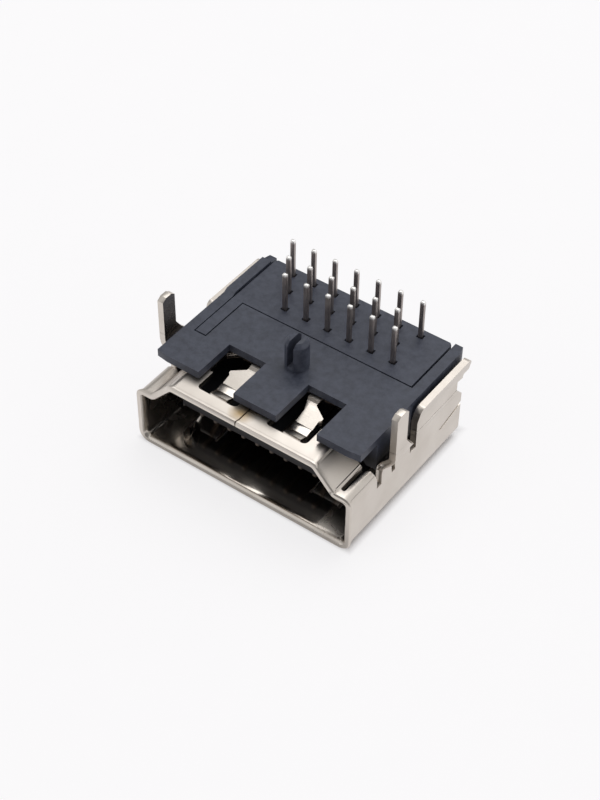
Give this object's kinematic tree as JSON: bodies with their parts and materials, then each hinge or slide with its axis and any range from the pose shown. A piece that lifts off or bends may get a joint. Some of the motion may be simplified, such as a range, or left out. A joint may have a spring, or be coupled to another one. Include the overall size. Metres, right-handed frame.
{
  "type": "digital video socket",
  "caption": "Right-angle digital video socket with a D-shaped metal mouth, spring fingers, solder legs and rows of tails that go through a circuit board.",
  "frame": {"origin": "middle of the shell's floor, below the centre of the whole: the face that it stands on in the picture", "axes": "+Z from the shell's floor to the circuit board side, along the tails; -Y out of the mouth; +X to the right seen from the mouth"},
  "size_m": [0.0164, 0.012, 0.0088],
  "materials": {
    "shell": "bright nickel plate on folded steel sheet",
    "housing": "satin black moulding",
    "aligner": "satin black moulding",
    "contacts": "plated copper alloy strip"
  },
  "bodies": {
    "root": {"shell": "shell", "housing": "housing", "tail_aligner": "aligner", "contact_01": "contacts", "contact_02": "contacts", "contact_03": "contacts", "contact_04": "contacts", "contact_05": "contacts", "contact_06": "contacts", "contact_07": "contacts", "contact_08": "contacts", "contact_09": "contacts", "contact_10": "contacts", "contact_11": "contacts", "contact_12": "contacts", "contact_13": "contacts", "contact_14": "contacts", "contact_15": "contacts", "contact_16": "contacts", "contact_17": "contacts", "contact_18": "contacts", "contact_19": "contacts"}
  },
  "joints": []
}
